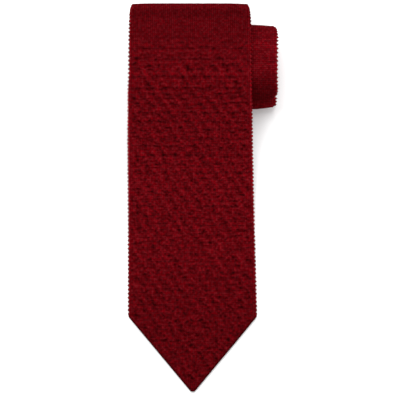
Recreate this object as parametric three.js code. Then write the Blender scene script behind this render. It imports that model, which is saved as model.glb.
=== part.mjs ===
// A knitted neck tie laid out on a flat surface, face up.
// The pointed blade lies towards -Y, climbs over a flattened roll and folds back at +Y.
// The rest of the band is wound up inside the roll, which stands out past the blade's right edge.
// On its first two ways under the roll the band laps out in front of it, close to the floor.
// The knitted tube is pressed flat, so its two walls are one solid band. Millimetres, +Z up.
import * as THREE from 'three';

// The band
const bladeWidth = 80;
const bladeThickness = 3;
const neckThickness = 1.4;
const pointLength = 46.5;
const pointWidth = 2.4;
const tailPointLength = 28;
const tailPointWidth = 2;

// The blade's way from its shoulders over the floor and up to the roll
const flatRun = 39.9;
const drapeRun = 100;
const leavingAngle = THREE.MathUtils.degToRad(33);

// The roll, measured on its bare right-hand end
const rollWidth = 46.5;
const rollHeight = 34.8;
const rollOverhang = 16.9;
const foldSlack = 7.7;
const layerGap = 0.3;
const eyeRadius = 1.2;

// How far the lap of the bare roll reaches out in front of the roll's flat
const lapReach = 22.3;

// Where the band bends, its edges sink towards the roll's middle, at the very edge by edgeTuck of
// the bend's radius, or by lapTuck at the front of a lap, and felt as far in as tuckReach. They
// also draw in along the band's width, by edgeDraw at the very edge.
const edgeTuck = 0.045;
const lapTuck = 0.08;
const tuckReach = 13.5;
const edgeDraw = 2.8;

// Turns of the wide band that lie outside the bare roll
const wideTurns = 2;

// Steps of the faceted band
const flatSteps = 3;
const drapeSteps = 12;
const lapSteps = 3;
const arcSteps = 12;
const innerArcSteps = 8;
const innerArcRadius = 9;

// How the band changes along its way. Turn -1 is the point, turn 0 the crest of the roll, and
// each whole turn is one more pass over the crest. Width is a share of the blade's width, and
// edge, the way from the blade's middle line to the band's right edge, of half that width.
// Drift is a share of the roll's overhang, and plump leads from the neck's thickness to the
// blade's. Left and right are the shares of edgeTuck and edgeDraw at that edge.
const lie = [
  { turn: -1.00, width: 1.00, edge: 1.00, drift: 0, plump: 1, left: 0, right: 0 },
  { turn: -0.80, width: 1.00, edge: 1.00, drift: 0, plump: 1, left: 0, right: 0 },
  { turn: -0.25, width: 0.96, edge: 0.92, drift: 0, plump: 1, left: 0, right: 0 },
  { turn: 0.00, width: 0.93, edge: 0.89, drift: 0, plump: 1, left: 0.35, right: 0.45 },
  { turn: 0.25, width: 0.91, edge: 0.87, drift: 0, plump: 0.95, left: 0.35, right: 0.45 },
  { turn: 0.50, width: 0.90, edge: 0.87, drift: 0, plump: 0.85, left: 0.5, right: 0 },
  { turn: 1.33, width: 0.80, edge: 0.87, drift: 0, plump: 0.4, left: 0.5, right: 0 },
  { turn: 1.48, width: 0.77, edge: 0.87, drift: 1, plump: 0.3, left: 0.5, right: 1 },
  { turn: 1.75, width: 0.73, edge: 0.87, drift: 1, plump: 0.2, left: 0.5, right: 1 },
  { turn: 3.00, width: 0.61, edge: 0.87, drift: 1, plump: 0, left: 0, right: 1 },
  { turn: 5.00, width: 0.55, edge: 0.86, drift: 1, plump: 0, left: 0, right: 1 },
  { turn: 8.00, width: 0.55, edge: 0.86, drift: 1, plump: 0, left: 0, right: 1 },
  { turn: 11.00, width: 0.62, edge: 0.85, drift: 1, plump: 0.1, left: 0, right: 1 },
];

// The cross-section's corners, from the left edge over the face, down round the right edge and
// back underneath. A corner lies from its own edge inwards by its inset in thicknesses and its
// share of tuckReach, and height is its share of half the thickness.
const section = [
  { side: -1, inset: 0.00, inReach: 0.0, height: 0.00 },
  { side: -1, inset: 0.10, inReach: 0.0, height: 0.60 },
  { side: -1, inset: 0.45, inReach: 0.0, height: 0.92 },
  { side: -1, inset: 0.45, inReach: 0.4, height: 0.97 },
  { side: -1, inset: 0.45, inReach: 1.0, height: 1.00 },
  { side: 1, inset: 0.45, inReach: 1.0, height: 1.00 },
  { side: 1, inset: 0.45, inReach: 0.4, height: 0.97 },
  { side: 1, inset: 0.45, inReach: 0.0, height: 0.92 },
  { side: 1, inset: 0.10, inReach: 0.0, height: 0.60 },
  { side: 1, inset: 0.00, inReach: 0.0, height: 0.00 },
  { side: 1, inset: 0.10, inReach: 0.0, height: -0.60 },
  { side: 1, inset: 0.45, inReach: 0.0, height: -1.00 },
  { side: 1, inset: 0.45, inReach: 0.4, height: -1.00 },
  { side: 1, inset: 0.45, inReach: 1.0, height: -1.00 },
  { side: -1, inset: 0.45, inReach: 1.0, height: -1.00 },
  { side: -1, inset: 0.45, inReach: 0.4, height: -1.00 },
  { side: -1, inset: 0.45, inReach: 0.0, height: -1.00 },
  { side: -1, inset: 0.10, inReach: 0.0, height: -0.60 },
];

// The laps in front of the roll, from the floor up to the roll's widest place. Each point lies
// out from the roll's flat by shares of lapReach and of the layer's own radius, and up from the
// layer's bottom by a share of that radius. The two laps follow the first and third half turns.
const outerLap = [
  { lap: 0.00, side: 0.000, up: 0.00 },
  { lap: 0.55, side: 0.000, up: 0.00 },
  { lap: 0.94, side: 0.000, up: 0.02 },
  { lap: 1.17, side: 0.000, up: 0.28 },
  { lap: 1.01, side: 0.000, up: 0.54 },
  { lap: 0.00, side: 0.970, up: 0.69 },
  { lap: 0.00, side: 0.990, up: 0.82 },
];
const innerLap = [
  { lap: 0.00, side: 0.000, up: 0.00 },
  { lap: 0.45, side: 0.000, up: 0.00 },
  { lap: 0.79, side: 0.000, up: 0.01 },
  { lap: 1.00, side: 0.000, up: 0.24 },
  { lap: 0.82, side: 0.000, up: 0.48 },
  { lap: 0.00, side: 0.940, up: 0.60 },
  { lap: 0.00, side: 0.980, up: 0.75 },
];
const laps = new Map([[1, outerLap], [3, innerLap]]);

// Sections of the pointed end, as shares of its length and of the thickness
const pointRows = [
  { at: 0.000, thick: 0.45 },
  { at: 0.015, thick: 0.85 },
  { at: 0.045, thick: 1.00 },
  { at: 0.990, thick: 1.00 },
  { at: 1.000, thick: 1.00 },
];

// The band's state at a turn, read between the rows of the table
function lieAt(turn) {
  let row = 0;
  while (row < lie.length - 2 && turn > lie[row + 1].turn) row += 1;
  const from = lie[row];
  const to = lie[row + 1];
  const share = THREE.MathUtils.clamp((turn - from.turn) / (to.turn - from.turn), 0, 1);
  const at = {};
  for (const key of Object.keys(from)) at[key] = THREE.MathUtils.lerp(from[key], to[key], share);
  at.thickness = THREE.MathUtils.lerp(neckThickness, bladeThickness, at.plump);
  return at;
}

// Radius of the band's middle line at each half turn, from the crest inwards to the eye
function halfTurnRadii() {
  const step = (half) => (lieAt(half / 2 + 0.25).thickness + layerGap) / 2;
  const bare = 2 * wideTurns;
  const radii = [(rollHeight - lieAt(wideTurns).thickness) / 2];
  for (let half = bare - 1; half >= 0; half -= 1) radii.unshift(radii[0] + step(half));
  for (let half = bare; radii[half] - step(half) > eyeRadius; half += 1) {
    radii.push(radii[half] - step(half));
  }
  return radii;
}

const radii = halfTurnRadii();
const halfStraight = (rollWidth - rollHeight) / 2;
const rollMiddleZ = radii[1] + lieAt(0.5).thickness / 2;

// A station is a place on the band's middle line, in the plane x = 0 with the roll's middle at
// y = 0. It has the turn, the share of edgeDraw by which the edges draw in there, how deep they
// are sunk, and the direction out of the band's face. Turned goes from 0 to 1 along a half circle.
function onArc(half, turned) {
  const outward = half % 2 === 0 ? 1 : -1;
  const start = half < 0 ? 2 * radii[0] - radii[1] : radii[half];
  const end = radii[half + 1];
  const radius = THREE.MathUtils.lerp(start, end, turned);
  const depth = radius + (half === 0 ? foldSlack : 0);
  const sine = outward * Math.sin(Math.PI * turned);
  const cosine = outward * Math.cos(Math.PI * turned);
  return {
    turn: (half + turned) / 2,
    drawn: sine ** 12,
    sunk: edgeTuck * radius * sine ** 2,
    y: outward * halfStraight + depth * sine,
    z: rollMiddleZ + radius * cosine,
    out: new THREE.Vector2(sine / depth, cosine / radius).normalize(),
  };
}

// Stations of a lap, which takes the place of the half circle's lower half
function lapStations(half, rows) {
  const radiusAt = (up) => THREE.MathUtils.lerp(radii[half], radii[half + 1], up / 2);
  const points = [...rows, { lap: 0, side: 1, up: 1 }].map(({ lap, side, up }) => {
    const out = halfStraight + lap * lapReach + side * radiusAt(up);
    return new THREE.Vector2(-out, rollMiddleZ - radiusAt(up) * (1 - up));
  });
  const curve = new THREE.SplineCurve(points);
  const steps = lapSteps * rows.length;
  const stations = [];
  for (let step = 0; step < steps; step += 1) {
    const share = step / steps;
    const at = curve.getPoint(share);
    const heading = curve.getTangent(share);
    stations.push({
      turn: (half + share / 2) / 2,
      drawn: heading.y ** 4,
      sunk: radiusAt(share) * THREE.MathUtils.lerp(
        lapTuck * THREE.MathUtils.smoothstep(share, 0, 0.35),
        edgeTuck,
        THREE.MathUtils.smoothstep(share, 0.45, 0.8),
      ),
      y: at.x,
      z: at.y,
      out: new THREE.Vector2(-heading.y, heading.x),
    });
  }
  return stations;
}

// Stations of the blade from its point to where it meets the roll
function bladeStations() {
  const leaving = onArc(-1, 1 - leavingAngle / Math.PI);
  const floorZ = bladeThickness / 2;
  const landingY = leaving.y - drapeRun;
  const shoulderY = landingY - flatRun;
  const tipY = shoulderY - pointLength;
  const stations = [];
  const lay = (y, z, out, thick = 1) => {
    const turn = THREE.MathUtils.mapLinear(y, tipY, leaving.y, -1, leaving.turn);
    stations.push({ turn, drawn: 0, sunk: 0, y, z, out, thick });
  };
  const up = new THREE.Vector2(0, 1);
  for (const row of pointRows) lay(tipY + row.at * pointLength, floorZ, up, row.thick);
  for (let step = 1; step <= flatSteps; step += 1) {
    lay(shoulderY + (flatRun * step) / flatSteps, floorZ, up);
  }
  const handle = drapeRun / 3;
  const drape = new THREE.CubicBezierCurve(
    new THREE.Vector2(landingY, floorZ),
    new THREE.Vector2(landingY + handle, floorZ),
    new THREE.Vector2(leaving.y - handle, leaving.z - handle * Math.tan(leavingAngle)),
    new THREE.Vector2(leaving.y, leaving.z),
  );
  for (let step = 1; step < drapeSteps; step += 1) {
    const at = drape.getPoint(step / drapeSteps);
    const heading = drape.getTangent(step / drapeSteps);
    lay(at.x, at.y, new THREE.Vector2(-heading.y, heading.x));
  }
  return stations;
}

// Stations from there over the crest and round the roll to its eye
function rollStations() {
  const stations = [];
  const leavingSteps = Math.max(1, Math.round((leavingAngle / Math.PI) * arcSteps));
  for (let step = leavingSteps; step >= 0; step -= 1) {
    stations.push(onArc(-1, 1 - ((leavingAngle / Math.PI) * step) / leavingSteps));
  }
  for (let half = 0; half < radii.length - 1; half += 1) {
    const steps = radii[half] > innerArcRadius ? arcSteps : innerArcSteps;
    if (laps.has(half)) stations.push(...lapStations(half, laps.get(half)));
    for (let step = laps.has(half) ? steps / 2 : 0; step <= steps; step += 1) {
      stations.push(onArc(half, step / steps));
    }
  }
  return stations;
}

// Adds to each station its distance from the point, measured along the band
function measured(stations) {
  let along = 0;
  return stations.map((here, i) => {
    const before = stations[Math.max(i - 1, 0)];
    along += Math.hypot(here.y - before.y, here.z - before.z);
    return { thick: 1, ...here, along };
  });
}

// The band's width, which runs out in a point at both of its ends
function widthAt(along, length, full) {
  const fromPoint = Math.min(1, along / pointLength);
  const fromTail = Math.min(1, (length - along) / tailPointLength);
  return Math.min(
    THREE.MathUtils.lerp(pointWidth, full, fromPoint),
    THREE.MathUtils.lerp(tailPointWidth, full, fromTail),
  );
}

// The corners of the band at one station
function ringAt(station, length) {
  const at = lieAt(station.turn);
  const thickness = at.thickness * station.thick;
  const full = bladeWidth * at.width;
  const width = widthAt(station.along, length, full);
  const rightEdge = (bladeWidth / 2) * at.edge + rollOverhang * at.drift;
  const middle = rightEdge - full / 2;
  const insets = section.map(({ inset, inReach }) => inset * at.thickness + inReach * tuckReach);
  const squeeze = Math.min(1, (0.45 * width) / Math.max(...insets));
  return section.map(({ side, height }, corner) => {
    const fromEdge = insets[corner] * squeeze;
    const share = side < 0 ? at.left : at.right;
    const nearEdge = Math.max(0, 1 - fromEdge / tuckReach);
    const draw = share * edgeDraw * station.drawn * nearEdge;
    const out = (height * thickness) / 2 - share * station.sunk * nearEdge ** 1.5;
    return new THREE.Vector3(
      middle + side * (width / 2 - fromEdge - draw),
      station.y + station.out.x * out,
      station.z + station.out.y * out,
    );
  });
}

// A closed solid through a row of rings with the same number of corners
function loft(rings) {
  const corners = rings[0].length;
  const index = [];
  for (let ring = 0; ring < rings.length - 1; ring += 1) {
    for (let corner = 0; corner < corners; corner += 1) {
      const a = ring * corners + corner;
      const b = ring * corners + ((corner + 1) % corners);
      index.push(a, b, a + corners, b, b + corners, a + corners);
    }
  }
  const lastRing = (rings.length - 1) * corners;
  for (let corner = 1; corner < corners - 1; corner += 1) {
    index.push(0, corner + 1, corner);
    index.push(lastRing, lastRing + corner, lastRing + corner + 1);
  }
  const geometry = new THREE.BufferGeometry().setFromPoints(rings.flat());
  geometry.setIndex(index);
  return geometry;
}

const stations = measured([...bladeStations(), ...rollStations()]);
const length = stations.at(-1).along;
const band = loft(stations.map((station) => ringAt(station, length)));
band.computeBoundingBox();
const middle = band.boundingBox.getCenter(new THREE.Vector3());
band.translate(-middle.x, -middle.y, -band.boundingBox.min.z);
band.computeVertexNormals();

const crimsonKnit = new THREE.MeshStandardMaterial({ color: 0x5c0a12, roughness: 0.92 });
const tie = new THREE.Mesh(band, crimsonKnit);
tie.name = 'knit_tie';

const group = new THREE.Group();
group.add(tie);

export default group;
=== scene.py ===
"""A crimson knit tie, laid face up on a pale floor over the roll of its own neck."""

import math

import bpy
import numpy as np
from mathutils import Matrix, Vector


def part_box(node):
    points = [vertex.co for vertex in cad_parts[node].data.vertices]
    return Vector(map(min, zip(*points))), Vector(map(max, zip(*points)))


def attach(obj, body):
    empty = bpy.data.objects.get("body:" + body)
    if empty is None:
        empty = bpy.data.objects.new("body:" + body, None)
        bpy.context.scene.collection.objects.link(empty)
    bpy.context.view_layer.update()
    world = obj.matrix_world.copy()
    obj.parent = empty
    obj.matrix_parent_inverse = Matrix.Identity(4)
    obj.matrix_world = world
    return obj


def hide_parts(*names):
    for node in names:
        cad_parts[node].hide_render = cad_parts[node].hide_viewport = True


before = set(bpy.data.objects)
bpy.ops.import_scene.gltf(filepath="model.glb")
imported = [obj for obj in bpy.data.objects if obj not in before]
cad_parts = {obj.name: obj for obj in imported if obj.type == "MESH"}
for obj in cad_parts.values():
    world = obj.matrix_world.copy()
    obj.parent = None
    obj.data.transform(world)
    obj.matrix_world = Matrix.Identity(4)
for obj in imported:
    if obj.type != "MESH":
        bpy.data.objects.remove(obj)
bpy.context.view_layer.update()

mm = 0.001

# The band and its roll, as the part has them
blade_width = 80 * mm
blade_thickness = 3 * mm
neck_thickness = 1.4 * mm
point_length = 46.5 * mm
point_width = 2.4 * mm
tail_point_length = 28 * mm
tail_point_width = 2 * mm
flat_run = 39.9 * mm
drape_run = 100 * mm
leaving_angle = math.radians(33)
roll_width = 46.5 * mm
roll_height = 34.8 * mm
roll_overhang = 16.9 * mm
fold_slack = 7.7 * mm
layer_gap = 0.3 * mm
eye_radius = 1.2 * mm
lap_reach = 22.3 * mm
edge_tuck = 0.045
lap_tuck = 0.08
tuck_reach = 13.5 * mm
edge_draw = 2.8 * mm
wide_turns = 2
arc_draw_sharpness = 12
lap_draw_sharpness = 4
lap_sinks = (0, 0.35)
lap_lifts = (0.45, 0.8)

# How finely the band's way is drawn, in steps, and how evenly its places lie
floor_steps = 90
drape_steps = 120
leaving_steps = 12
arc_steps = 36
lap_steps = 90
way_spacing = 0.25 * mm
way_smoothing = 15

# The band's state along its way; turn -1 is the point and turn 0 the crest of the roll
LIE_COLUMNS = ("turn", "width", "edge", "drift", "plump", "left", "right")
LIE = [
    (-1.00, 1.00, 1.00, 0.0, 1.00, 0.00, 0.00),
    (-0.80, 1.00, 1.00, 0.0, 1.00, 0.00, 0.00),
    (-0.25, 0.96, 0.92, 0.0, 1.00, 0.00, 0.00),
    (0.00, 0.93, 0.89, 0.0, 1.00, 0.35, 0.45),
    (0.25, 0.91, 0.87, 0.0, 0.95, 0.35, 0.45),
    (0.50, 0.90, 0.87, 0.0, 0.85, 0.50, 0.00),
    (1.33, 0.80, 0.87, 0.0, 0.40, 0.50, 0.00),
    (1.48, 0.77, 0.87, 1.0, 0.30, 0.50, 1.00),
    (1.75, 0.73, 0.87, 1.0, 0.20, 0.50, 1.00),
    (3.00, 0.61, 0.87, 1.0, 0.00, 0.00, 1.00),
    (5.00, 0.55, 0.86, 1.0, 0.00, 0.00, 1.00),
    (8.00, 0.55, 0.86, 1.0, 0.00, 0.00, 1.00),
    (11.00, 0.62, 0.85, 1.0, 0.10, 0.00, 1.00),
]

# The laps in front of the roll, by half turn: shares of the reach and of the layer's radius
LAPS = {
    1: [
        (0.00, 0.000, 0.00),
        (0.55, 0.000, 0.00),
        (0.94, 0.000, 0.02),
        (1.17, 0.000, 0.28),
        (1.01, 0.000, 0.54),
        (0.00, 0.970, 0.69),
        (0.00, 0.990, 0.82),
    ],
    3: [
        (0.00, 0.000, 0.00),
        (0.45, 0.000, 0.00),
        (0.79, 0.000, 0.01),
        (1.00, 0.000, 0.24),
        (0.82, 0.000, 0.48),
        (0.00, 0.940, 0.60),
        (0.00, 0.980, 0.75),
    ],
}

# The knit
wale = 1.283 * mm
course = 1.27 * mm

# The lengths of band that are one piece each: from turn to turn, the last to the tail, with the
# steps along and across the mesh in millimetres, and how the length is held
PIECES = [
    ("blade_cloth", -1.0, 0.5, 0.52, 0.78, "draped"),
    ("underlap_cloth", 0.5, 1.5, 0.90, 1.60, "folded"),
    ("roll_cloth", 1.5, 2.75, 0.60, 0.75, "folded"),
    ("core_cloth", 2.75, math.inf, 1.10, 1.80, "folded"),
]


def lie_at(turn):
    """The band's state at a turn, each column eased over its neighbours."""
    table = np.array(LIE)
    eased = 0.05
    lie = {}
    for column, name in enumerate(LIE_COLUMNS[1:], start=1):
        reads = [
            np.interp(np.asarray(turn) + shift * eased, table[:, 0], table[:, column])
            for shift in (-1, -0.5, 0, 0.5, 1)
        ]
        lie[name] = np.mean(reads, axis=0)
    lie["thickness"] = neck_thickness + (blade_thickness - neck_thickness) * lie["plump"]
    return lie


def half_turn_radii():
    """Radius of the band's middle line at each half turn, from the crest to the eye."""
    table = np.array(LIE)

    def thickness(turn):
        plump = np.interp(turn, table[:, 0], table[:, LIE_COLUMNS.index("plump")])
        return neck_thickness + (blade_thickness - neck_thickness) * plump

    def step(half):
        return (thickness(half / 2 + 0.25) + layer_gap) / 2

    bare = 2 * wide_turns
    radii = [(roll_height - thickness(wide_turns)) / 2]
    for half in range(bare - 1, -1, -1):
        radii.insert(0, radii[0] + step(half))
    half = bare
    while radii[half] - step(half) > eye_radius:
        radii.append(radii[half] - step(half))
        half += 1
    return radii, radii[1] + thickness(0.5) / 2


radii, roll_middle = half_turn_radii()
half_straight = (roll_width - roll_height) / 2


def on_arc(half, turned):
    """Turn, how far the edges sink and draw in, and place on a half circle of the roll."""
    outward = 1 if half % 2 == 0 else -1
    start = 2 * radii[0] - radii[1] if half < 0 else radii[half]
    radius = start + (radii[half + 1] - start) * turned
    depth = radius + (fold_slack if half == 0 else 0)
    sine = outward * math.sin(math.pi * turned)
    cosine = outward * math.cos(math.pi * turned)
    place = (outward * half_straight + depth * sine, roll_middle + radius * cosine)
    return ((half + turned) / 2, edge_tuck * radius * sine ** 2, sine ** arc_draw_sharpness, *place)


def catmull_rom(points, share):
    """Place at a share of the way along a smooth curve through the points."""
    last = len(points) - 1
    at = share * last
    left = min(int(at), last - 1)
    t = at - left
    before, a, b, after = (points[min(max(left + k, 0), last)] for k in (-1, 0, 1, 2))
    leave, arrive = (b - before) / 2, (after - a) / 2
    return (
        (2 * a - 2 * b + leave + arrive) * t ** 3
        + (3 * b - 3 * a - 2 * leave - arrive) * t ** 2
        + leave * t
        + a
    )


def smooth_rise(value, low, high):
    """0 below low, 1 above high and a smooth rise between."""
    risen = min(1, max(0, (value - low) / (high - low)))
    return risen * risen * (3 - 2 * risen)


def lap_way(half):
    """The half turn that laps out in front of the roll, from its foot up to the arc."""
    def radius_at(up):
        return radii[half] + (radii[half + 1] - radii[half]) * up / 2

    points = [
        np.array((
            -(half_straight + lap * lap_reach + side * radius_at(up)),
            roll_middle - radius_at(up) * (1 - up),
        ))
        for lap, side, up in [*LAPS[half], (0, 1, 1)]
    ]
    way = []
    for step in range(lap_steps):
        share = step / lap_steps
        sunk = lap_tuck * smooth_rise(share, *lap_sinks)
        sunk += (edge_tuck - sunk) * smooth_rise(share, *lap_lifts)
        place = catmull_rom(points, share)
        heading = catmull_rom(points, share + 0.001) - place
        drawn = (heading[1] / math.hypot(*heading)) ** lap_draw_sharpness
        way.append(((half + share / 2) / 2, sunk * radius_at(share), drawn, *place))
    return way


def blade_way():
    """From the point over the floor and up the drape to the roll."""
    turn, _, _, leave_y, leave_z = on_arc(-1, 1 - leaving_angle / math.pi)
    landing_y = leave_y - drape_run
    tip_y = landing_y - flat_run - point_length
    floor_z = blade_thickness / 2
    handle = drape_run / 3
    ys = list(np.linspace(tip_y, landing_y, floor_steps)[:-1])
    zs = [floor_z] * len(ys)
    curve_y = (landing_y, landing_y + handle, leave_y - handle, leave_y)
    curve_z = (floor_z, floor_z, leave_z - handle * math.tan(leaving_angle), leave_z)
    for t in np.linspace(0, 1, drape_steps + 1)[:-1]:
        weights = ((1 - t) ** 3, 3 * t * (1 - t) ** 2, 3 * t * t * (1 - t), t ** 3)
        ys.append(sum(w * y for w, y in zip(weights, curve_y)))
        zs.append(sum(w * z for w, z in zip(weights, curve_z)))
    turns = np.interp(ys, (tip_y, leave_y), (-1, turn))
    return [(u, 0.0, 0.0, y, z) for u, y, z in zip(turns, ys, zs)]


def whole_way():
    """The band's middle line, evenly spaced, with what each place on it has."""
    way = blade_way()
    for step in range(leaving_steps, 0, -1):
        way.append(on_arc(-1, 1 - leaving_angle / math.pi * step / leaving_steps))
    for half in range(len(radii) - 1):
        turned = 0.0
        if half in LAPS:
            way.extend(lap_way(half))
            turned = 0.5
        while turned < 1:
            way.append(on_arc(half, turned))
            turned += 1 / arc_steps
        way.append(on_arc(half, 1))
    way = np.array(way)
    steps = np.hypot(np.diff(way[:, 3]), np.diff(way[:, 4]))
    keep = np.concatenate(([True], steps > 1e-7))
    way = way[keep]
    along = np.concatenate(([0], np.cumsum(np.hypot(np.diff(way[:, 3]), np.diff(way[:, 4])))))
    even = np.arange(0, along[-1], way_spacing)
    columns = [np.interp(even, along, way[:, k]) for k in range(5)]
    ease = np.hanning(way_smoothing)
    ease /= ease.sum()
    pad = len(ease) // 2
    for k in range(5):
        line = columns[k]
        first = 2 * line[0] - line[1:pad + 1][::-1]
        last = 2 * line[-1] - line[-pad - 1:-1][::-1]
        columns[k] = np.convolve(np.concatenate((first, line, last)), ease, mode="valid")
    return dict(zip(("turn", "sunk", "drawn", "y", "z"), columns), along=even)


way = whole_way()
band_length = float(way["along"][-1])


def along_before_fold(back):
    """Distance along the band to where it is this far short of the top fold's end."""
    crest = int(np.argmax(way["y"]))
    short = way["y"][crest] - way["y"][:crest]
    return float(way["along"][np.searchsorted(-short, -back)])


# Where painted shade darkens the cloth over the top fold
fold_shade_start = along_before_fold(10.5 * mm)
fold_shade_stop = along_before_fold(3 * mm)

# The band's rim: how many steps round it, its depth as a share of the thickness and of the
# width, and how thin the point's very end is
edge_steps = 5
lip_share = 0.45
tip_thinness = 0.45
tip_taper = 2 * mm
under_coarseness = 6


def section(columns, under_columns):
    """The cross-section's corners: which part, side or share of the flat, and edge angle."""
    corners = []
    for k in range(edge_steps):
        corners.append(("edge", -1, math.pi / 2 * k / edge_steps))
    for k in range(columns + 1):
        corners.append(("top", k / columns, 0))
    for k in range(edge_steps - 1, -1, -1):
        corners.append(("edge", 1, math.pi / 2 * k / edge_steps))
    for k in range(1, edge_steps):
        corners.append(("edge", 1, -math.pi / 2 * k / edge_steps))
    for k in range(under_columns + 1):
        corners.append(("under", 1 - k / under_columns, 0))
    for k in range(edge_steps - 1, 0, -1):
        corners.append(("edge", -1, -math.pi / 2 * k / edge_steps))
    return corners


def band_piece(name, start, stop, ring, column):
    """A closed length of the band with its knit measures, its flat size and its cut area."""
    from_along = float(np.interp(start, way["turn"], way["along"]))
    to_along = float(np.interp(stop, way["turn"], way["along"]))
    rings = int(round((to_along - from_along) / (ring * mm)))
    along = np.linspace(from_along, to_along, rings + 1)
    columns_of_way = ("turn", "sunk", "drawn", "y", "z")
    at = {key: np.interp(along, way["along"], way[key]) for key in columns_of_way}
    heading_y = np.gradient(at["y"], along)
    heading_z = np.gradient(at["z"], along)
    size = np.hypot(heading_y, heading_z)
    out_y, out_z = -heading_z / size, heading_y / size

    lie = lie_at(at["turn"])
    full = blade_width * lie["width"]
    from_tip = np.clip(along / point_length, 0, 1)
    from_tail = np.clip((band_length - along) / tail_point_length, 0, 1)
    width = np.minimum(
        point_width + (full - point_width) * from_tip,
        tail_point_width + (full - tail_point_width) * from_tail,
    )
    right_edge = blade_width / 2 * lie["edge"] + roll_overhang * lie["drift"]
    middle = right_edge - full / 2
    thickness = lie["thickness"] * np.minimum(1, tip_thinness + (1 - tip_thinness) * along / tip_taper)
    lip = lip_share * np.minimum(lie["thickness"], width)

    columns = max(4, int(round(float(width.max()) / (column * mm))))
    corners = section(columns, max(8, columns // under_coarseness))
    points, across, rim, face, from_edge = [], [], [], [], []
    for kind, place, angle in corners:
        if kind == "edge":
            inset = lip * (1 - math.cos(angle))
            side = np.full_like(along, place)
            x = middle + side * (width / 2 - inset)
            height = np.full_like(along, math.sin(angle))
            rim.append(np.full_like(along, math.cos(angle)))
            face.append(np.full_like(along, max(0.0, math.sin(angle)) ** 4 / 2))
        else:
            run = width - 2 * lip
            x = middle - width / 2 + lip + run * place
            side = np.full_like(along, -1.0 if place < 0.5 else 1.0)
            inset = np.minimum(lip + run * place, lip + run * (1 - place))
            upward = 1.0 if kind == "top" else -1.0
            height = np.full_like(along, upward)
            rim.append(np.zeros_like(along))
            face.append(np.full_like(along, max(0.0, upward)))
        share = np.where(side < 0, lie["left"], lie["right"])
        near_edge = np.maximum(0, 1 - inset / tuck_reach)
        x = x - side * share * edge_draw * at["drawn"] * near_edge
        lift = height * thickness / 2 - share * at["sunk"] * near_edge ** 1.5
        points.append(np.stack((x, at["y"] + out_y * lift, at["z"] + out_z * lift), axis=1))
        across.append(x)
        from_edge.append(inset)
    count = len(corners)
    points = np.stack(points, axis=1).reshape(-1, 3)
    across, rim, face, from_edge = (
        np.stack(rows, axis=1).reshape(-1) for rows in (across, rim, face, from_edge)
    )

    faces = []
    for i in range(rings):
        low, high = i * count, (i + 1) * count
        for k in range(count):
            j = (k + 1) % count
            faces.append((low + j, low + k, high + k, high + j))
    faces.append(tuple(range(count)))
    faces.append(tuple(rings * count + k for k in reversed(range(count))))

    mesh = bpy.data.meshes.new(name)
    mesh.from_pydata([tuple(p) for p in points + lay_offset], [], faces)
    measures = {
        "across": across,
        "along": np.repeat(along, count),
        "turn": np.repeat(at["turn"], count),
        "rim": rim,
        "face": face,
        "from_edge": from_edge,
    }
    for key, values in measures.items():
        mesh.attributes.new(key, "FLOAT", "POINT").data.foreach_set("value", values)
    uv = mesh.uv_layers.new(name="knit")
    corner_points = np.empty(len(mesh.loops), dtype=np.int32)
    mesh.loops.foreach_get("vertex_index", corner_points)
    stitches = np.stack((across / wale, measures["along"] / course), axis=1)[corner_points]
    uv.data.foreach_set("uv", stitches.reshape(-1))
    mesh.polygons.foreach_set("use_smooth", [True] * len(mesh.polygons))
    piece = bpy.data.objects.new(name, mesh)
    bpy.context.collection.objects.link(piece)
    cut_area = float(np.sum((width[1:] + width[:-1]) / 2 * np.diff(along)))
    return piece, (float(width.max()), to_along - from_along), cut_area


# The band is laid where the solid lies, with the point at its near end
low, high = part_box("knit_tie")
lay_offset = np.array((low[0] + blade_width / 2, low[1] - float(way["y"][0]), 0.0))


class Wire:
    """A node's socket that takes part in sums like a number."""

    def __init__(self, book, socket):
        self.book = book
        self.socket = socket

    def _sum(self, operation, *values):
        sockets = dict(enumerate(values))
        return self.book.add("ShaderNodeMath", {"operation": operation}, sockets)["Value"]

    def __add__(self, other):
        return self._sum("ADD", self, other)

    def __radd__(self, other):
        return self._sum("ADD", other, self)

    def __sub__(self, other):
        return self._sum("SUBTRACT", self, other)

    def __rsub__(self, other):
        return self._sum("SUBTRACT", other, self)

    def __mul__(self, other):
        return self._sum("MULTIPLY", self, other)

    def __rmul__(self, other):
        return self._sum("MULTIPLY", other, self)

    def __truediv__(self, other):
        return self._sum("DIVIDE", self, other)

    def __rtruediv__(self, other):
        return self._sum("DIVIDE", other, self)

    def __pow__(self, other):
        return self._sum("POWER", self, other)

    def __neg__(self):
        return self._sum("MULTIPLY", self, -1)

    def cos(self):
        return self._sum("COSINE", self)

    def sin(self):
        return self._sum("SINE", self)

    def abs(self):
        return self._sum("ABSOLUTE", self)

    def floor(self):
        return self._sum("FLOOR", self)

    def fract(self):
        return self._sum("FRACT", self)

    def at_least(self, other):
        return self._sum("MAXIMUM", self, other)

    def rise(self, low, high):
        """0 below low, 1 above high and a smooth rise between."""
        sockets = {"Value": self, "From Min": low, "From Max": high}
        settings = {"interpolation_type": "SMOOTHSTEP"}
        return self.book.add("ShaderNodeMapRange", settings, sockets)["Result"]

    def within(self, begins, full, fades, ends):
        """1 between full and fades, and 0 before begins and after ends."""
        return self.rise(begins, full) * (1 - self.rise(fades, ends))

    def between(self, start, stop):
        """Start where this is 0 and stop where it is 1."""
        return start + (stop - start) * self


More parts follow.
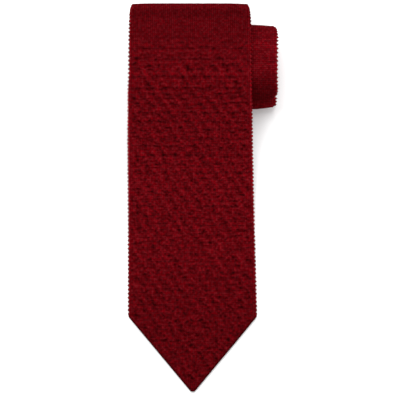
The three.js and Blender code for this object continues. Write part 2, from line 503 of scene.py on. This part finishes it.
class Book:
    """Adds nodes to one tree."""

    def __init__(self, tree):
        self.tree = tree

    def add(self, kind, settings=None, sockets=None):
        """A node of this kind with its settings, then its sockets' values and links."""
        node = self.tree.nodes.new(kind)
        for name, value in (settings or {}).items():
            setattr(node, name, value)
        for key, value in (sockets or {}).items():
            if isinstance(value, Wire):
                self.tree.links.new(value.socket, node.inputs[key])
            else:
                node.inputs[key].default_value = value
        outputs = {}
        for number, output in enumerate(node.outputs):
            outputs.setdefault(output.name, Wire(self, output))
            outputs[number] = Wire(self, output)
        return outputs

    def vector(self, x, y, z=0.0):
        return self.add("ShaderNodeCombineXYZ", None, {"X": x, "Y": y, "Z": z})["Vector"]

    def split(self, vector):
        return self.add("ShaderNodeSeparateXYZ", None, {"Vector": vector})

    def noise(self, place, scale, detail=2.0, roughness=0.5):
        sockets = {"Vector": place, "Scale": scale, "Detail": detail, "Roughness": roughness}
        return self.add("ShaderNodeTexNoise", {"noise_dimensions": "3D"}, sockets)

    def attribute(self, name):
        """A measure that the mesh carries, as the material reads it."""
        return self.add("ShaderNodeAttribute", {"attribute_name": name})["Fac"]

    def mix_colours(self, share, a, b, blend="MIX"):
        settings = {"data_type": "RGBA", "blend_type": blend}
        sockets = {"Factor": share, 6: a, 7: b}
        return self.add("ShaderNodeMix", settings, sockets)[2]


RELIEF_SIZES = {
    "Knot width": 6 * wale,
    "Knot height": 9.2 * course,
    "Row height": 3 * course,
    "Rib height": 4.65 * course,
    "Swell": 0.3 * mm,
    "Pit depth": 0.8 * mm,
    "Strip start": 0.96 * mm,
    "Strip end": 3.12 * mm,
    "Hem start": 2 * mm,
    "Hem end": 8 * mm,
    "Rib start": 125 * mm,
    "Row start": 175 * mm,
    "Knot end": 216 * mm,
    "Rib end": 238 * mm,
    "Knot fade": 8 * mm,
    "Row rise": 15 * mm,
    "Rib rise": 25 * mm,
    "Wander": 0.9 * mm,
    "Scallop pitch": 2 * course,
    "Scallop depth": 0.5 * mm,
    "Scallop start": point_length - 1 * mm,
    "Scallop full": point_length + 4 * mm,
    "Unevenness": 0.3 * mm,
    "Seed": 4.0,
}


full_circle = 2 * math.pi
drift_waves = 110.0
sideways_drift = 2.2
lengthways_drift = 1.2
knot_swell = 0.38
knot_ridge = 0.12
knot_lean = 0.8
knots_past_fold = 0.2
knots_on_rows = 1.3
row_swell = 0.12
row_swell_high = 0.28
row_tightening = 0.12
rib_swell = 0.25

# Single loops that stand up or lie low: how far each runs out along its row, its seed, its
# waves in a metre with their detail and roughness, and its height below and on the rows
LOOPS = {
    "yarn": (0.75, 5.0, 330.0, 2.5, 0.65, 2.3, 1.8),
    "streak": (0.30, 9.0, 520.0, 1.5, 0.60, 2.4, 3.3),
    "loop": (0.80, 1.0, 640.0, 1.0, 0.50, 4.2, 3.2),
}


def knot_height(book, across, along, sizes):
    """Height of the blade's knotted face, about -1 in a pit and 1 on a knot."""
    seed = sizes["Seed"]
    drift = book.split(book.noise(book.vector(across, along, seed), drift_waves, 1.0)["Color"])
    u = across + (drift["X"] - 0.5) * sideways_drift * sizes["Wander"]
    v = along + (drift["Y"] - 0.5) * lengthways_drift * sizes["Wander"]
    before_fold = 1 - along.rise(sizes["Knot end"] - sizes["Knot fade"], sizes["Knot end"])
    on_rows = along.rise(sizes["Row start"], sizes["Row start"] + sizes["Row rise"])
    on_ribs = along.rise(sizes["Rib start"], sizes["Rib start"] + sizes["Rib rise"])

    slant = (u / sizes["Knot width"] + v / sizes["Knot height"]) * full_circle
    knots = slant.cos() * knot_swell + (slant * 2 + knot_lean).cos() * knot_ridge
    knots = knots * before_fold.between(knots_past_fold, 1) * on_rows.between(1, knots_on_rows)
    tighter = v + (v - sizes["Row start"]).at_least(0.0) * row_tightening
    rows = (tighter / sizes["Row height"] * full_circle).cos()
    rows = rows * on_rows.between(row_swell, row_swell_high)
    ribs = (v / sizes["Rib height"] * full_circle).cos() * rib_swell * on_ribs
    height = knots + rows + ribs
    for reach, shift, waves, detail, roughness, below, on in LOOPS.values():
        place = book.vector(u * reach, v, seed + shift)
        loops = book.noise(place, waves, detail, roughness)["Fac"] - 0.5
        height = height + loops * on_rows.between(below, on)
    return height


cloth_waves = 260.0
loop_size_waves = 320.0
loop_middle = 0.6


def knit_relief():
    """Raises the knotted rows and the looped side edges on the band's face."""
    tree = bpy.data.node_groups.new("knit relief", "GeometryNodeTree")
    tree.interface.new_socket("Geometry", in_out="INPUT", socket_type="NodeSocketGeometry")
    tree.interface.new_socket("Material", in_out="INPUT", socket_type="NodeSocketMaterial")
    for name, size in RELIEF_SIZES.items():
        socket = tree.interface.new_socket(name, in_out="INPUT", socket_type="NodeSocketFloat")
        socket.default_value = size
    tree.interface.new_socket("Geometry", in_out="OUTPUT", socket_type="NodeSocketGeometry")
    book = Book(tree)
    given = book.add("NodeGroupInput")

    def measure(name):
        settings = {"data_type": "FLOAT"}
        return book.add("GeometryNodeInputNamedAttribute", settings, {"Name": name})["Attribute"]

    across, along, rim, face = (measure(name) for name in ("across", "along", "rim", "face"))
    strip = measure("from_edge").rise(given["Strip start"], given["Strip end"])
    fold = 1 - along.rise(given["Knot end"], given["Rib end"])
    knotted = face * strip * fold * along.rise(given["Hem start"], given["Hem end"])
    height = knot_height(book, across, along, given)
    lift = height.at_least(0.0) * given["Swell"] - (-height).at_least(0.0) * given["Pit depth"]
    relief = lift.at_least(-given["Pit depth"]) * knotted

    # Fine unevenness of the whole face
    place = book.vector(across, along, given["Seed"] + 11.0)
    uneven = (book.noise(place, cloth_waves)["Fac"] - 0.5) * given["Unevenness"] * face

    # The looped side edges, from the point's shoulders on
    place = book.vector(across, along, given["Seed"] + 13.0)
    size = 1 + 2 * book.noise(place, loop_size_waves, 0.0)["Fac"]
    loops = (along / given["Scallop pitch"] * math.pi).sin() ** 2 - loop_middle
    straight = along.rise(given["Scallop start"], given["Scallop full"])
    scallop = loops * size * given["Scallop depth"] * rim * straight

    normal = book.add("GeometryNodeInputNormal")["Normal"]
    offset = book.add(
        "ShaderNodeVectorMath",
        {"operation": "SCALE"},
        {0: normal, "Scale": relief + uneven + scallop},
    )["Vector"]
    raised = book.add(
        "GeometryNodeSetPosition",
        None,
        {"Geometry": given["Geometry"], "Offset": offset},
    )
    stored = book.add(
        "GeometryNodeStoreNamedAttribute",
        {"data_type": "FLOAT", "domain": "POINT"},
        {"Geometry": raised["Geometry"], "Name": "knotted", "Value": knotted},
    )
    real = book.add("GeometryNodeRealizeInstances", None, {"Geometry": stored["Geometry"]})
    dressed = book.add(
        "GeometryNodeSetMaterial",
        None,
        {"Geometry": real["Geometry"], "Material": given["Material"]},
    )
    book.add("NodeGroupOutput", None, {"Geometry": dressed["Geometry"]})
    return tree


def knitted(piece, tree, material, sizes):
    """The piece with the relief worked into its mesh."""
    modifier = piece.modifiers.new("knit relief", "NODES")
    modifier.node_group = tree
    for item in tree.interface.items_tree:
        if item.item_type != "SOCKET" or item.in_out != "INPUT":
            continue
        if item.name == "Material":
            modifier[item.identifier] = material
        elif item.name in sizes:
            modifier[item.identifier] = sizes[item.name]
    depsgraph = bpy.context.evaluated_depsgraph_get()
    worked = bpy.data.meshes.new_from_object(piece.evaluated_get(depsgraph))
    worked.name = piece.name
    piece.modifiers.clear()
    piece.data = worked
    return piece


# The yarn, its deeper and its paler strands
DEEP_CRIMSON = (0.104, 0.0006, 0.0024, 1)
PALE_CRIMSON = (0.104, 0.0046, 0.0069, 1)

# How strongly each feature of the knit marks it, on the blade and on the neck: the grooves and the
# edge gaps are painted shade, the edge loops painted light, the streaks and clouds random tone, and
# the stitch slope is how far the legs of each V lean
SHADES = {
    "stitch slope": (0.50, 0.15),
    "wale groove": (0.50, 0.18),
    "course groove": (0.26, 0.40),
    "streak": (0.00, 0.90),
    "cloud": (0.28, 0.10),
    "edge loop": (0.12, 0.47),
    "edge gap": (0.20, 0.60),
}
# How much less painted groove shade the knotted face takes
knotted_groove = 0.36
# Painted highlight on the knots and painted shade in the pits of the knotted face
knot_painted_highlight = 0.8
pit_painted_shade = 0.35
stitch_spread = 0.56
# A painted highlight along the rounded rim, and how much of the edge's painted light and shade the lap
# drops
rim_painted_highlight = 0.9
lap_edge_dark = 0.9

# How much each feature stands out in the bump
yarn_bump, groove_bump, fuzz_bump, stitch_bump = 0.7, 0.6, 0.8, 0.35
bump_depth = 0.35 * mm

# Painted light and shade, by distance from the point and by turn of the roll: where each begins, is
# full, fades and ends, and the change. The drape and the lap are painted lighter; the crest, the top
# fold and the front of the roll are painted darker
DISTANCE_PAINTED_LIGHT_AND_SHADE = {
    "drape": (95 * mm, 135 * mm, 188 * mm, 203 * mm, 0.16),
    "crest": (220 * mm, 232 * mm, 246 * mm, 250 * mm, -0.13),
    "top fold shade": (fold_shade_start, fold_shade_start + 3 * mm, fold_shade_stop - 3 * mm, fold_shade_stop, -0.13),
}
TURN_PAINTED_LIGHT_AND_SHADE = {
    "lap": (1.50, 1.52, 1.66, 1.70, 0.35),
    "lower front": (1.66, 1.72, 1.92, 2.03, -0.38),
    "upper front": (2.05, 2.10, 2.15, 2.20, -0.20),
}
# Painted shade on the blade's upper end from 205 mm on and towards the point, a darker band along the
# point's hem, and painted light over the whole neck
fold_painted_shade, point_painted_shade, hem_dark, neck_painted_light = 0.12, 0.17, 0.35, 0.1


def with_painted_light_and_shade(place, tones):
    """1 with all the painted light and shade that reach this place on the band."""
    tone = 1
    for begins, full, fades, ends, change in tones.values():
        tone = tone + place.within(begins, full, fades, ends) * change
    return tone


def crimson_knit():
    """Matte crimson yarn: wales of V stitches, knots on the blade and loops at the edges, with painted
    light and shade on them, on the roll and over the fold.
    """
    material = bpy.data.materials.new("crimson knit")
    material.use_nodes = True
    material.node_tree.nodes.clear()
    book = Book(material.node_tree)
    stitch = book.add("ShaderNodeUVMap", {"uv_map": "knit"})["UV"]
    parts = book.split(stitch)
    u, v = parts["X"], parts["Y"]
    knotted, from_edge, rim, turn = (
        book.attribute(name) for name in ("knotted", "from_edge", "rim", "turn")
    )
    along = v * course
    neck = turn.rise(1.2, 1.4)
    shading = {name: neck.between(*shares) for name, shares in SHADES.items()}

    # The knotted face: a painted highlight on its knots and painted shade in its pits, which also show
    # less yarn
    height = knot_height(book, u * wale, along, RELIEF_SIZES)
    on_knots = height.rise(-1.6, 1.6) - 0.5
    in_pits = 1 - height.rise(-1.65, -0.35)
    knots = 1 + knotted * (on_knots * knot_painted_highlight - in_pits * pit_painted_shade)

    # Each wale is a column of V stitches: two legs that lean towards its middle
    leg = (u.fract() - 0.5).abs() * 2
    yarn = ((v + leg * shading["stitch slope"]) * math.pi).sin().abs()
    between_wales = leg.rise(0.6, 1.0)
    between_courses = 1 - yarn.rise(0.0, 0.6)
    single = book.add(
        "ShaderNodeTexWhiteNoise",
        {"noise_dimensions": "2D"},
        {"Vector": book.vector(u.floor(), v.floor())},
    )["Value"]
    fuzz = book.noise(stitch, 2.6, 3.0, 0.6)["Fac"]
    streak = book.noise(book.vector(u * 0.1, v), 0.62, 1.5, 0.7)["Fac"] - 0.5
    cloud = book.noise(stitch, 0.45, 2.0)["Fac"] - 0.5
    # Painted shade in the grooves between wales and between courses, with random streaks, clouds and
    # single stitches
    stitches = (
        (1 - between_wales * (shading["wale groove"] - knotted_groove * knotted))
        * (1 - between_courses * shading["course groove"])
        * (1 + streak * shading["streak"])
        * (1 + cloud * shading["cloud"])
        * (1 + (single - 0.5) * stitch_spread)
    )

    # The side edges end in a row of loops: painted light on the loops, painted shade in the gaps
    # between them and a painted highlight along the rounded rim, most of it taken off on the lap
    edge = 1 - from_edge.rise(0.8 * mm, 2.4 * mm)
    gaps = 1 - (v / 2 * math.pi).sin().abs().rise(0.0, 0.8)
    hem = edge * (1 - along.rise(point_length - 2 * mm, point_length + 2 * mm))
    on_lap = turn.within(*TURN_PAINTED_LIGHT_AND_SHADE["lap"][:4])
    loops = edge * (shading["edge loop"] - shading["edge gap"] * gaps) + rim * rim_painted_highlight * (1 - hem)
    side_loops = 1 + loops * (1 - lap_edge_dark * on_lap)

    # Painted light and shade along the band: lighter on the drape, the lap and the whole neck; darker
    # on the blade's upper end from 205 mm on, on the crest, over the top fold, on the front of the
    # roll and towards the point; and a darker band along the point's hem
    fold = along.rise(205 * mm, 215 * mm) * (1 - neck)
    point = 1 - along.rise(45 * mm, 95 * mm)
    tone = (with_painted_light_and_shade(along, DISTANCE_PAINTED_LIGHT_AND_SHADE) - fold_painted_shade * fold) * (
        with_painted_light_and_shade(turn, TURN_PAINTED_LIGHT_AND_SHADE) + neck_painted_light * neck
    )
    tone = tone * (1 - point_painted_shade * point - hem_dark * hem)

    shade = knots * stitches * side_loops * tone
    paler = book.noise(stitch, 0.9, 2.0, 0.6)["Fac"].rise(0.4, 0.62)
    strands = book.mix_colours(paler, DEEP_CRIMSON, PALE_CRIMSON)
    colour = book.mix_colours(1.0, strands, book.vector(shade, shade, shade), "MULTIPLY")
    bump = yarn * yarn_bump - between_wales * groove_bump + fuzz * fuzz_bump + single * stitch_bump
    normal = book.add(
        "ShaderNodeBump",
        None,
        {"Strength": 0.8, "Distance": bump_depth, "Height": bump},
    )["Normal"]
    surface = book.add(
        "ShaderNodeBsdfPrincipled",
        None,
        {"Base Color": colour, "Roughness": 0.92, "Specular IOR Level": 0.0, "Normal": normal},
    )["BSDF"]
    book.add("ShaderNodeOutputMaterial", None, {"Surface": surface})
    return material


# The relief of each length where it isn't the blade's: plain faces, and calmer where turns lie close
plain_face = {"Swell": 0.0, "Pit depth": 0.0}
neck_relief = {**plain_face, "Scallop depth": 0.7 * mm, "Unevenness": 0.2 * mm}
PIECE_RELIEF = {
    "blade_cloth": {},
    "underlap_cloth": neck_relief,
    "roll_cloth": neck_relief,
    "core_cloth": {**plain_face, "Scallop depth": 0.3 * mm, "Unevenness": 0.1 * mm},
}

relief_tree = knit_relief()
finish = crimson_knit()
for name, start, stop, ring, column, held in PIECES:
    piece, flat, cut_area = band_piece(name, start, stop, ring, column)
    knitted(piece, relief_tree, finish, PIECE_RELIEF[name])
    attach(piece, "root")
    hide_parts("knit_tie")

# The photograph's frame, in metres at the floor
frame_width = 0.24904
camera_height = 2.0
look_at = (-0.00132, -0.00098)
sensor_width = 36.0

# The light and the floor
room_light = 0.74
lamp_place = (-0.2, 1.25, 2.1)
lamp_size = (1.8, 1.4)
lamp_power = 63
paper_white = 0.95
paper_glow = 0.1
floor_reach = 3.0
floor_drop = 0.05 * mm


def overhead_camera():
    """A camera straight above the tie, with the photograph's frame at the floor."""
    camera = bpy.data.cameras.new("overhead")
    camera.sensor_width = sensor_width
    camera.lens = sensor_width * camera_height / frame_width
    camera.clip_start = 0.1
    camera.clip_end = 20.0
    stand = bpy.data.objects.new("overhead", camera)
    stand.location = (*look_at, camera_height)
    bpy.context.collection.objects.link(stand)
    bpy.context.scene.camera = stand


def soft_lamp():
    """One large lamp beyond the top fold, aimed at the tie."""
    lamp = bpy.data.lights.new("soft_top", "AREA")
    lamp.shape = "RECTANGLE"
    lamp.size, lamp.size_y = lamp_size
    lamp.energy = lamp_power
    stand = bpy.data.objects.new("soft_top", lamp)
    stand.location = lamp_place
    stand.rotation_euler = (-Vector(lamp_place)).to_track_quat("-Z", "Y").to_euler()
    bpy.context.collection.objects.link(stand)


def pale_room():
    world = bpy.data.worlds.new("pale room")
    world.use_nodes = True
    background = world.node_tree.nodes["Background"]
    background.inputs["Color"].default_value = (1, 1, 1, 1)
    background.inputs["Strength"].default_value = room_light
    bpy.context.scene.world = world


def paper_floor():
    mesh = bpy.data.meshes.new("paper_floor")
    corners = [
        (x * floor_reach, y * floor_reach, -floor_drop)
        for x, y in ((-1, -1), (1, -1), (1, 1), (-1, 1))
    ]
    mesh.from_pydata(corners, [], [(0, 1, 2, 3)])
    floor = bpy.data.objects.new("paper_floor", mesh)
    bpy.context.collection.objects.link(floor)
    paper = bpy.data.materials.new("white paper")
    paper.use_nodes = True
    shader = paper.node_tree.nodes["Principled BSDF"]
    shader.inputs["Base Color"].default_value = (paper_white, paper_white, paper_white, 1)
    shader.inputs["Roughness"].default_value = 0.9
    shader.inputs["Specular IOR Level"].default_value = 0.0
    shader.inputs["Emission Color"].default_value = (1, 1, 1, 1)
    shader.inputs["Emission Strength"].default_value = paper_glow
    mesh.materials.append(paper)


overhead_camera()
paper_floor()
pale_room()
soft_lamp()
bpy.context.scene.view_settings.view_transform = "Standard"
